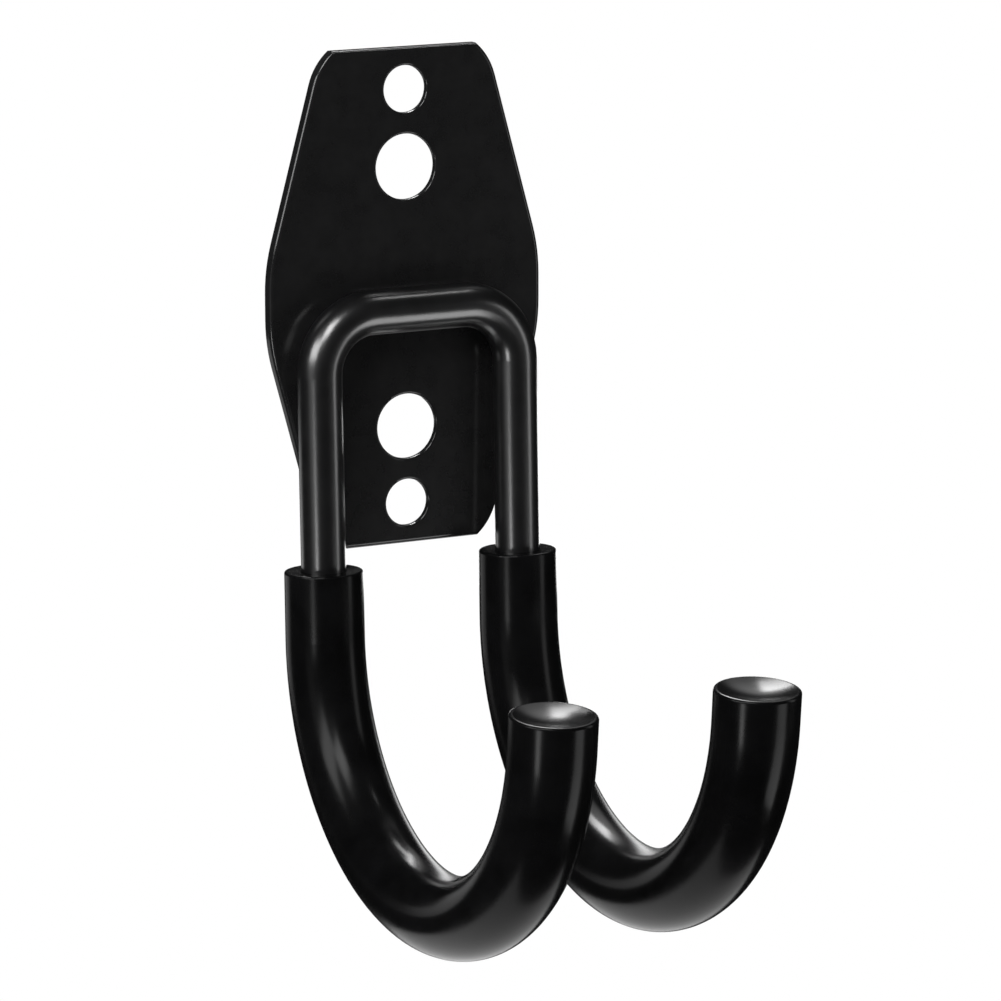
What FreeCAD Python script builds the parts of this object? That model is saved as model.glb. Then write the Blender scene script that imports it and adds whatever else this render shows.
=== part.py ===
import FreeCAD, Part
import math
import os

# Garage utility hook: a stamped wall plate, one bent steel rod and two soft sleeves with closed tips.
# Millimetres, +Z up. The wall is the plane y = 0 and the arms reach out along -Y.
# The origin is the middle of the plate's back face.

# Plate
plate_height = 89.0
plate_width = 54.0
plate_thickness = 2.0
plate_taper = 10.5          # how far each side steps in from the waist to the end edge
waist_length = 13.6         # upright stretch between the tapers, measured between sharp corners
waist_radius = 33.0         # blend from the upright stretch into the taper
corner_run = 6.0            # how far down the taper each corner's rounding reaches
corner_cut = 2.2            # how far along the end edge it reaches
plate_edge_round = 0.7      # rolled front edge of the stamping

# Holes on the plate's centre line, the same at both ends
screw_hole_diameter = 8.4
anchor_hole_diameter = 11.7
hole_end_margin = 3.2       # land between the end edge and the screw hole
hole_bridge = 3.75          # land between the screw hole and the anchor hole
hole_edge_round = 0.4
hole_breakout = 0.5         # how far the punch tears each hole wider at the back

# Rod
rod_diameter = 8.0
weld_setdown = 0.1          # how far the welded crossbar is pressed flat against the plate
crossbar_drop = 1.5         # crossbar axis below the middle of the plate
crossbar_bend_radius = 10.5
arm_spacing = 39.0          # between the axes of the two arms
hook_bend_radius = 41.6
hook_tip_angle = 175.0      # degrees from straight down to the way the tip points
rod_tip_length = 2.3        # straight end after the bend
rod_end_chamfer = 0.6

# Sleeves
sleeve_wall = 2.9           # at the cuff; dipping leaves it thicker towards the tip
sleeve_tip_wall = 3.4
sleeve_clearance = 0.1      # between the rod and the bore, on each side
sleeve_end_wall = 3.0       # solid tip beyond the bore
rod_end_clearance = 0.3     # between the rod's end and the bore's end
cuff_gap = 2.1              # from the plate's lower edge down to the cuff
sleeve_straight = 12.0      # from the cuff down to the start of the bend
sleeve_wall_gap = 0.2       # between the back of the cuff and the wall
cuff_edge_round = 0.4
tip_edge_round = 0.5
dish_margin = 0.7           # rim left round the hollow in the tip
dish_depth = 1.4

# Worked out from the sizes above
half_height = plate_height / 2
half_width = plate_width / 2
rod_radius = rod_diameter / 2
bore_radius = rod_radius + sleeve_clearance
cuff_radius = bore_radius + sleeve_wall
tip_radius = bore_radius + sleeve_tip_wall
tip_angle = math.radians(hook_tip_angle)
arm_x = arm_spacing / 2
crossbar_y = -(plate_thickness + rod_radius - weld_setdown)
crossbar_z = -crossbar_drop
cuff_z = -half_height - cuff_gap
bend_z = cuff_z - sleeve_straight
sleeve_tip_length = rod_tip_length + rod_end_clearance + sleeve_end_wall
screw_hole_z = half_height - hole_end_margin - screw_hole_diameter / 2
anchor_hole_z = screw_hole_z - screw_hole_diameter / 2 - hole_bridge - anchor_hole_diameter / 2

# The arms lean out just enough for the thicker sleeves to clear the wall
cuff_standoff = max(cuff_radius + sleeve_wall_gap, -crossbar_y)
arm_lean = math.atan2(cuff_standoff + crossbar_y, crossbar_z - cuff_z)


def point(x, y, z):
    return FreeCAD.Vector(x, y, z)


def line(start, end):
    return Part.LineSegment(start, end).toShape()


def tangent_arc(start, heading, end):
    """Arc that leaves start along heading and ends at end, through up to a full turn."""
    chord = end - start
    aside = chord - heading * chord.dot(heading)
    radius = chord.dot(chord) / (2 * aside.Length)
    centre = start + aside.normalize() * radius
    ahead = (end - centre).dot(heading)
    outward = (end - centre).dot(start - centre) / radius
    half_turn = math.atan2(ahead, outward) % math.tau / 2
    middle = centre + (start - centre) * math.cos(half_turn) + heading * radius * math.sin(half_turn)
    return Part.Arc(start, middle, end).toShape()


def plate_quarter():
    """Edges of the plate's upper right quarter, from the waist up to the middle of the end edge."""
    waist_corner = point(half_width, 0, waist_length / 2)
    end_corner = point(half_width - plate_taper, 0, half_height)
    up = point(0, 0, 1)
    side = (end_corner - waist_corner).normalize()
    blend = waist_radius * math.tan(up.getAngle(side) / 2)
    waist_top = waist_corner - up * blend
    taper_start = waist_corner + side * blend
    taper_end = end_corner - side * corner_run
    edge_end = end_corner - point(corner_cut, 0, 0)
    return [
        line(point(half_width, 0, 0), waist_top),
        tangent_arc(waist_top, up, taper_start),
        line(taper_start, taper_end),
        tangent_arc(taper_end, side, edge_end),
        line(edge_end, point(0, 0, half_height)),
    ]


def plate_outline():
    """Closed outline in the wall plane, the quarter mirrored to the other three."""
    centre = point(0, 0, 0)
    upper_right = Part.Compound(plate_quarter())
    right = Part.Compound([upper_right, upper_right.mirror(centre, point(0, 0, 1))])
    left = right.mirror(centre, point(1, 0, 0))
    return Part.Wire(Part.__sortEdges__(right.Edges + left.Edges))


def edges_at(solid, y):
    """Edges of a solid that lie wholly in the plane at y."""
    return [edge for edge in solid.Edges
            if abs(edge.BoundBox.YMin - y) < 1e-4 and abs(edge.BoundBox.YMax - y) < 1e-4]


def punched_hole(diameter, z):
    """Tool that cuts a hole right through the plate, rounded at the front and torn wider at the back."""
    out = point(0, -1, 0)
    radius = diameter / 2
    rim = point(0, -plate_thickness, z)
    shaft = Part.makeCylinder(radius, plate_thickness, point(0, 0, z), out)
    mouth = Part.makeCylinder(radius + hole_edge_round, hole_edge_round, rim, -out)
    lip = Part.makeTorus(radius + hole_edge_round, hole_edge_round, rim - out * hole_edge_round, out)
    breakout = Part.makeCone(radius + hole_breakout, radius, plate_thickness / 2, point(0, 0, z), out)
    return shaft.fuse([mouth.cut(lip), breakout])


def back_plate():
    blank = Part.Face(plate_outline()).extrude(point(0, -plate_thickness, 0)).removeSplitter()
    plate = blank.makeFillet(plate_edge_round, edges_at(blank, -plate_thickness))
    for end in (1, -1):
        plate = plate.cut(punched_hole(screw_hole_diameter, end * screw_hole_z))
        plate = plate.cut(punched_hole(anchor_hole_diameter, end * anchor_hole_z))
    return plate


def arm_axis_at(x, z):
    """Point on an arm's straight leg, which leans out from the crossbar."""
    return point(x, crossbar_y - (crossbar_z - z) * math.tan(arm_lean), z)


def arm_heading(angle):
    """Direction in an arm's own upright plane, turned by an angle from straight down towards the front."""
    return point(0, -math.sin(angle), -math.cos(angle))


def crossbar_path():
    """The left leg, the crossbar and the right leg, from one hook bend to the other."""
    left_corner = point(-arm_x, crossbar_y, crossbar_z)
    right_corner = point(arm_x, crossbar_y, crossbar_z)
    across = point(1, 0, 0)
    down = arm_heading(arm_lean)
    left_leg = left_corner + down * crossbar_bend_radius
    left_bar = left_corner + across * crossbar_bend_radius
    right_bar = right_corner - across * crossbar_bend_radius
    right_leg = right_corner + down * crossbar_bend_radius
    return [
        line(arm_axis_at(-arm_x, bend_z), left_leg),
        tangent_arc(left_leg, -down, left_bar),
        line(left_bar, right_bar),
        tangent_arc(right_bar, across, right_leg),
        line(right_leg, arm_axis_at(arm_x, bend_z)),
    ]


def hook_path(x, tip_length):
    """Hook bend and straight tip of one arm, with the tip's end point."""
    start = arm_axis_at(x, bend_z)
    to_centre = arm_heading(arm_lean + math.pi / 2)
    from_centre = arm_heading(tip_angle - math.pi / 2)
    bend_end = start + (to_centre + from_centre) * hook_bend_radius
    tip = bend_end + arm_heading(tip_angle) * tip_length
    return [tangent_arc(start, arm_heading(arm_lean), bend_end), line(bend_end, tip)], tip


def ring(centre, angle, radius):
    """Round section square to an arm that heads at an angle from straight down."""
    section = Part.Wire(Part.makeCircle(radius))
    section.rotate(point(0, 0, 0), point(1, 0, 0), 180 - math.degrees(angle))
    section.translate(centre)
    return section


def swept_bar(path, sections):
    """Solid bar along a path, through one section or from one section to the next."""
    return Part.Wire(path).makePipeShell(sections, True, False)


def rim_at(solid, centre):
    """Round edges of a solid that are centred on a point."""
    return [edge for edge in solid.Edges if edge.CenterOfMass.distanceToPoint(centre) < 1e-3]


def hook_rod(plate):
    left, left_tip = hook_path(-arm_x, rod_tip_length)
    right, right_tip = hook_path(arm_x, rod_tip_length)
    path = Part.__sortEdges__(left + crossbar_path() + right)
    rod = swept_bar(path, [ring(left_tip, tip_angle, rod_radius)])
    rod = rod.makeChamfer(rod_end_chamfer, rim_at(rod, left_tip) + rim_at(rod, right_tip))
    return rod.cut(plate)


def sleeve(x):
    cuff = arm_axis_at(x, cuff_z)
    bend_start = arm_axis_at(x, bend_z)
    hook, tip = hook_path(x, sleeve_tip_length)
    ends = [ring(cuff, arm_lean, cuff_radius), ring(tip, tip_angle, tip_radius)]
    skin = swept_bar([line(cuff, bend_start)] + hook, ends)
    skin = skin.makeFillet(tip_edge_round, rim_at(skin, tip))
    skin = skin.makeFillet(cuff_edge_round, rim_at(skin, cuff))
    above = cuff - arm_heading(arm_lean) * sleeve_wall
    hollow = hook_path(x, rod_tip_length + rod_end_clearance)[0]
    bore = swept_bar([line(above, bend_start)] + hollow, [ring(above, arm_lean, bore_radius)])
    dish_radius = tip_radius - dish_margin
    ball_radius = (dish_radius ** 2 + dish_depth ** 2) / (2 * dish_depth)
    dish = Part.makeSphere(ball_radius, tip + arm_heading(tip_angle) * (ball_radius - dish_depth))
    return skin.cut(bore).cut(dish)


os.makedirs("parts", exist_ok=True)
wall_plate = back_plate()
pieces = {
    "back_plate": wall_plate,
    "hook_rod": hook_rod(wall_plate),
    "left_sleeve": sleeve(-arm_x),
    "right_sleeve": sleeve(arm_x),
}
for name, shape in pieces.items():
    shape.exportStep(f"parts/{name}.step")
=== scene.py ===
import math

import bpy
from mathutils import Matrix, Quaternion, Vector


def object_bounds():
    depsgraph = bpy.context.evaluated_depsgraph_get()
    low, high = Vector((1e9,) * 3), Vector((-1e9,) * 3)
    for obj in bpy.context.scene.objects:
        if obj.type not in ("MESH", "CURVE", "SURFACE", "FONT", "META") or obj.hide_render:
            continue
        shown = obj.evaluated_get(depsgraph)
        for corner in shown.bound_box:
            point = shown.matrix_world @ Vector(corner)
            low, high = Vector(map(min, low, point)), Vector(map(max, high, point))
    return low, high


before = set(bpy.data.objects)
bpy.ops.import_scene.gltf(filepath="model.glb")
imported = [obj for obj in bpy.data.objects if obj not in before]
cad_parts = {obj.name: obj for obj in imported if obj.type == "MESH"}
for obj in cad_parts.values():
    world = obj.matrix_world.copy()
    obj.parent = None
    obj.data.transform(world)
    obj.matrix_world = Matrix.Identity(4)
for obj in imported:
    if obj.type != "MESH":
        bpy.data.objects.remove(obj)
cad_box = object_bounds()

WHITE = (1, 1, 1, 1)

# Camera, as fitted to the photograph: metres and degrees, with the sensor in millimetres
IMAGE_SIZE = 1001
FOCAL_PIXELS = 5620.4
SENSOR_WIDTH = 36.0
CAMERA_DISTANCE = 1.0
CAMERA_AZIMUTH = -27.409
CAMERA_ELEVATION = 9.060
AIM_YAW = -28.426
AIM_PITCH = 11.152
AIM_ROLL = -0.117

# Floor and room: metres, and radiance where 1 is white
FLOOR_DROP = 0.40
FLOOR_FRONT = 0.10
FLOOR_BACK = 0.70
FLOOR_SIDE = 0.37
FLOOR_COLOUR = (0.80, 0.80, 0.80, 1)
FLOOR_GLOW = 0.60
ROOM_LIGHT = 0.30

# Backdrop that gloss mirrors: full out to the core angle from its middle, dark from the edge angle
BACKDROP_AZIMUTH = 148
BACKDROP_ELEVATION = 52
BACKDROP_CORE = 6
BACKDROP_EDGE = 26
BACKDROP_LIGHT = 3.2
DARK_LIGHT = 0.0096

# Lamps round the middle of the part: name, azimuth, elevation, distance, width, height, radiance
LAMPS = (
    ("key", -47, 46, 0.90, 0.34, 0.34, 13.0),
    ("left_upper", -76, 25, 0.60, 0.36, 0.22, 9.0),
    ("left_panel", -80, -2, 0.60, 0.20, 0.20, 0.5),
    ("left_strip", -64, -19, 0.60, 0.10, 0.148, 14.0),
    ("right_panel", 59.6, 3.3, 0.19, 0.045, 0.16, 2.6),
    ("low_front", 38, -33, 0.44, 0.17, 0.23, 4.2),
    ("top_spot", 78, 64.5, 0.80, 0.03, 0.03, 65.0),
    ("back_top", 159, 51, 1.20, 0.40, 0.50, 28.0),
    ("back_low", 147.7, -9.9, 0.219, 0.14, 0.042, 3.2),
    ("back_left", -162, -13, 0.332, 0.16, 0.06, 0.8),
)

# Coats: the spans of noise that drive tone and gloss, and the refraction of the lacquer
TONE_SPAN = (0.35, 0.65)
GLOSS_SPAN = (0.3, 0.7)
LACQUER_IOR = 1.8


def direction(azimuth, elevation):
    """Unit vector away from the part; azimuth 0 is straight out from the wall, negative is to the left."""
    a = math.radians(azimuth)
    e = math.radians(elevation)
    return Vector((math.sin(a) * math.cos(e), -math.cos(a) * math.cos(e), math.sin(e)))


def add_object(name, data):
    piece = bpy.data.objects.new(name, data)
    bpy.context.scene.collection.objects.link(piece)
    return piece


def make_camera():
    data = bpy.data.cameras.new("camera")
    data.sensor_width = SENSOR_WIDTH
    data.lens = SENSOR_WIDTH * FOCAL_PIXELS / IMAGE_SIZE
    camera = add_object("camera", data)
    camera.location = direction(CAMERA_AZIMUTH, CAMERA_ELEVATION) * CAMERA_DISTANCE
    forward = -direction(AIM_YAW, AIM_PITCH)
    roll = Quaternion((0, 0, 1), math.radians(AIM_ROLL))
    camera.rotation_mode = "QUATERNION"
    camera.rotation_quaternion = forward.to_track_quat("-Z", "Y") @ roll
    bpy.context.scene.camera = camera


def softbox(name, azimuth, elevation, distance, width, height, radiance, centre):
    """Area lamp aimed at the part, as bright to look at as its radiance says."""
    data = bpy.data.lights.new(name, "AREA")
    data.shape = "RECTANGLE"
    data.size = width
    data.size_y = height
    data.energy = radiance * math.pi * width * height
    lamp = add_object(name, data)
    lamp.location = centre + direction(azimuth, elevation) * distance
    lamp.rotation_mode = "QUATERNION"
    lamp.rotation_quaternion = (centre - lamp.location).to_track_quat("-Z", "Y")
    lamp.visible_camera = False


def either(nodes, links, one, other):
    """Socket that holds where one of two ray tests does."""
    larger = nodes.new("ShaderNodeMath")
    larger.operation = "MAXIMUM"
    links.new(one, larger.inputs[0])
    links.new(other, larger.inputs[1])
    return larger.outputs[0]


def background_rays(nodes, links):
    """Two ray tests: from the camera, through glass or off gloss, and off gloss alone."""
    path = nodes.new("ShaderNodeLightPath")
    glossy = path.outputs["Is Glossy Ray"]
    straight = either(nodes, links, path.outputs["Is Camera Ray"], path.outputs["Is Transmission Ray"])
    return either(nodes, links, straight, glossy), glossy


def background(nodes):
    """White background, of strength 1 unless it is set."""
    shader = nodes.new("ShaderNodeBackground")
    shader.inputs["Color"].default_value = WHITE
    return shader


def choose(nodes, links, test, no, yes):
    """Shader that is one where a ray test fails and the other where it holds."""
    mix = nodes.new("ShaderNodeMixShader")
    links.new(test, mix.inputs[0])
    links.new(no.outputs[0], mix.inputs[1])
    links.new(yes.outputs[0], mix.inputs[2])
    return mix


def backdrop_level(nodes, links):
    """Radiance of the soft-edged backdrop and the dark round it, by direction."""
    where = nodes.new("ShaderNodeTexCoord")
    facing = nodes.new("ShaderNodeVectorMath")
    facing.operation = "DOT_PRODUCT"
    links.new(where.outputs["Generated"], facing.inputs[0])
    facing.inputs[1].default_value = direction(BACKDROP_AZIMUTH, BACKDROP_ELEVATION)
    level = nodes.new("ShaderNodeMapRange")
    level.interpolation_type = "SMOOTHSTEP"
    level.inputs["From Min"].default_value = math.cos(math.radians(BACKDROP_EDGE))
    level.inputs["From Max"].default_value = math.cos(math.radians(BACKDROP_CORE))
    level.inputs["To Min"].default_value = DARK_LIGHT
    level.inputs["To Max"].default_value = BACKDROP_LIGHT
    links.new(facing.outputs["Value"], level.inputs["Value"])
    return level.outputs["Result"]


def make_world():
    """White to the camera and through glass, the backdrop in the dark to gloss, even light to the rest."""
    world = bpy.data.worlds.new("studio")
    bpy.context.scene.world = world
    world.use_nodes = True
    nodes = world.node_tree.nodes
    links = world.node_tree.links
    nodes.clear()
    out = nodes.new("ShaderNodeOutputWorld")
    seen, glossy = background_rays(nodes, links)
    white = background(nodes)
    room = background(nodes)
    room.inputs["Strength"].default_value = ROOM_LIGHT
    mirrored = background(nodes)
    links.new(backdrop_level(nodes, links), mirrored.inputs["Strength"])
    shown = choose(nodes, links, glossy, white, mirrored)
    light = choose(nodes, links, seen, room, shown)
    links.new(light.outputs[0], out.inputs["Surface"])


def make_floor(height):
    """Pale floor that catches the part's shadow and reads as white."""
    data = bpy.data.meshes.new("floor")
    corners = [(-FLOOR_SIDE, -FLOOR_FRONT, height), (FLOOR_SIDE, -FLOOR_FRONT, height),
               (FLOOR_SIDE, FLOOR_BACK, height), (-FLOOR_SIDE, FLOOR_BACK, height)]
    data.from_pydata(corners, [], [(0, 1, 2, 3)])
    floor = add_object("floor", data)
    material = bpy.data.materials.new("floor")
    material.use_nodes = True
    nodes = material.node_tree.nodes
    links = material.node_tree.links
    nodes.clear()
    out = nodes.new("ShaderNodeOutputMaterial")
    paint = nodes.new("ShaderNodeBsdfDiffuse")
    paint.inputs["Color"].default_value = FLOOR_COLOUR
    glow = nodes.new("ShaderNodeEmission")
    seen = background_rays(nodes, links)[0]
    level = nodes.new("ShaderNodeMath")
    level.operation = "MULTIPLY"
    links.new(seen, level.inputs[0])
    level.inputs[1].default_value = FLOOR_GLOW
    links.new(level.outputs[0], glow.inputs["Strength"])
    both = nodes.new("ShaderNodeAddShader")
    links.new(paint.outputs[0], both.inputs[0])
    links.new(glow.outputs[0], both.inputs[1])
    links.new(both.outputs[0], out.inputs["Surface"])
    data.materials.append(material)


def noise(nodes, links, coords, scale, detail, roughness):
    texture = nodes.new("ShaderNodeTexNoise")
    texture.inputs["Scale"].default_value = scale
    texture.inputs["Detail"].default_value = detail
    texture.inputs["Roughness"].default_value = roughness
    links.new(coords, texture.inputs["Vector"])
    return texture.outputs["Fac"]


def two_tone(nodes, links, value, dark, light):
    """Colour that goes from dark to light over the tone span."""
    ramp = nodes.new("ShaderNodeValToRGB")
    for element, position, colour in zip(ramp.color_ramp.elements, TONE_SPAN, (dark, light)):
        element.position = position
        element.color = (*colour, 1)
    links.new(value, ramp.inputs["Fac"])
    return ramp.outputs["Color"]


def remap(nodes, links, value, low, high):
    """Number that goes from low to high over the gloss span."""
    ramp = nodes.new("ShaderNodeMapRange")
    ramp.inputs["From Min"].default_value = GLOSS_SPAN[0]
    ramp.inputs["From Max"].default_value = GLOSS_SPAN[1]
    ramp.inputs["To Min"].default_value = low
    ramp.inputs["To Max"].default_value = high
    links.new(value, ramp.inputs["Value"])
    return ramp.outputs["Result"]


def coat(name, dark, light, tone_scale, smooth, rough, rough_scale, peel_depth, peel_scale,
         specular, lacquer=0, lacquer_rough=0):
    """Black coating with slight mottling, uneven gloss and fine orange peel, with lacquer over it if any."""
    material = bpy.data.materials.new(name)
    material.use_nodes = True
    nodes = material.node_tree.nodes
    links = material.node_tree.links
    shader = nodes["Principled BSDF"]
    coords = nodes.new("ShaderNodeTexCoord").outputs["Object"]
    tone = noise(nodes, links, coords, tone_scale, detail=4, roughness=0.6)
    links.new(two_tone(nodes, links, tone, dark, light), shader.inputs["Base Color"])
    gloss = noise(nodes, links, coords, rough_scale, detail=3, roughness=0.5)
    links.new(remap(nodes, links, gloss, smooth, rough), shader.inputs["Roughness"])
    peel = noise(nodes, links, coords, peel_scale, detail=2, roughness=0.5)
    bump = nodes.new("ShaderNodeBump")
    bump.inputs["Distance"].default_value = peel_depth
    links.new(peel, bump.inputs["Height"])
    links.new(bump.outputs["Normal"], shader.inputs["Normal"])
    shader.inputs["Specular IOR Level"].default_value = specular
    shader.inputs["Coat Weight"].default_value = lacquer
    shader.inputs["Coat IOR"].default_value = LACQUER_IOR
    shader.inputs["Coat Roughness"].default_value = lacquer_rough
    return material


def dress(node, material):
    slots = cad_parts[node].data.materials
    slots.clear()
    slots.append(material)


low, high = cad_box
middle = (low + high) / 2
make_camera()
make_world()
make_floor(low.z - FLOOR_DROP)
for lamp in LAMPS:
    softbox(*lamp, middle)

plate_coat = coat(
    "plate_coat", dark=(0.0068, 0.0068, 0.0070), light=(0.0092, 0.0092, 0.0094), tone_scale=260,
    smooth=0.28, rough=0.34, rough_scale=150, peel_depth=0.000010, peel_scale=900,
    specular=0.02, lacquer=0.32, lacquer_rough=0.13)
rod_coat = coat(
    "rod_coat", dark=(0.0030, 0.0030, 0.0032), light=(0.0050, 0.0050, 0.0053), tone_scale=260,
    smooth=0.28, rough=0.34, rough_scale=150, peel_depth=0.000008, peel_scale=900,
    specular=0.3, lacquer=0.7, lacquer_rough=0.25)
sleeve_skin = coat(
    "sleeve_skin", dark=(0.0020, 0.0020, 0.0021), light=(0.0034, 0.0034, 0.0036), tone_scale=120,
    smooth=0.18, rough=0.24, rough_scale=60, peel_depth=0.000008, peel_scale=160,
    specular=0.09)
dress("back_plate", plate_coat)
dress("hook_rod", rod_coat)
dress("left_sleeve", sleeve_skin)
dress("right_sleeve", sleeve_skin)

bpy.context.scene.view_settings.view_transform = "Standard"
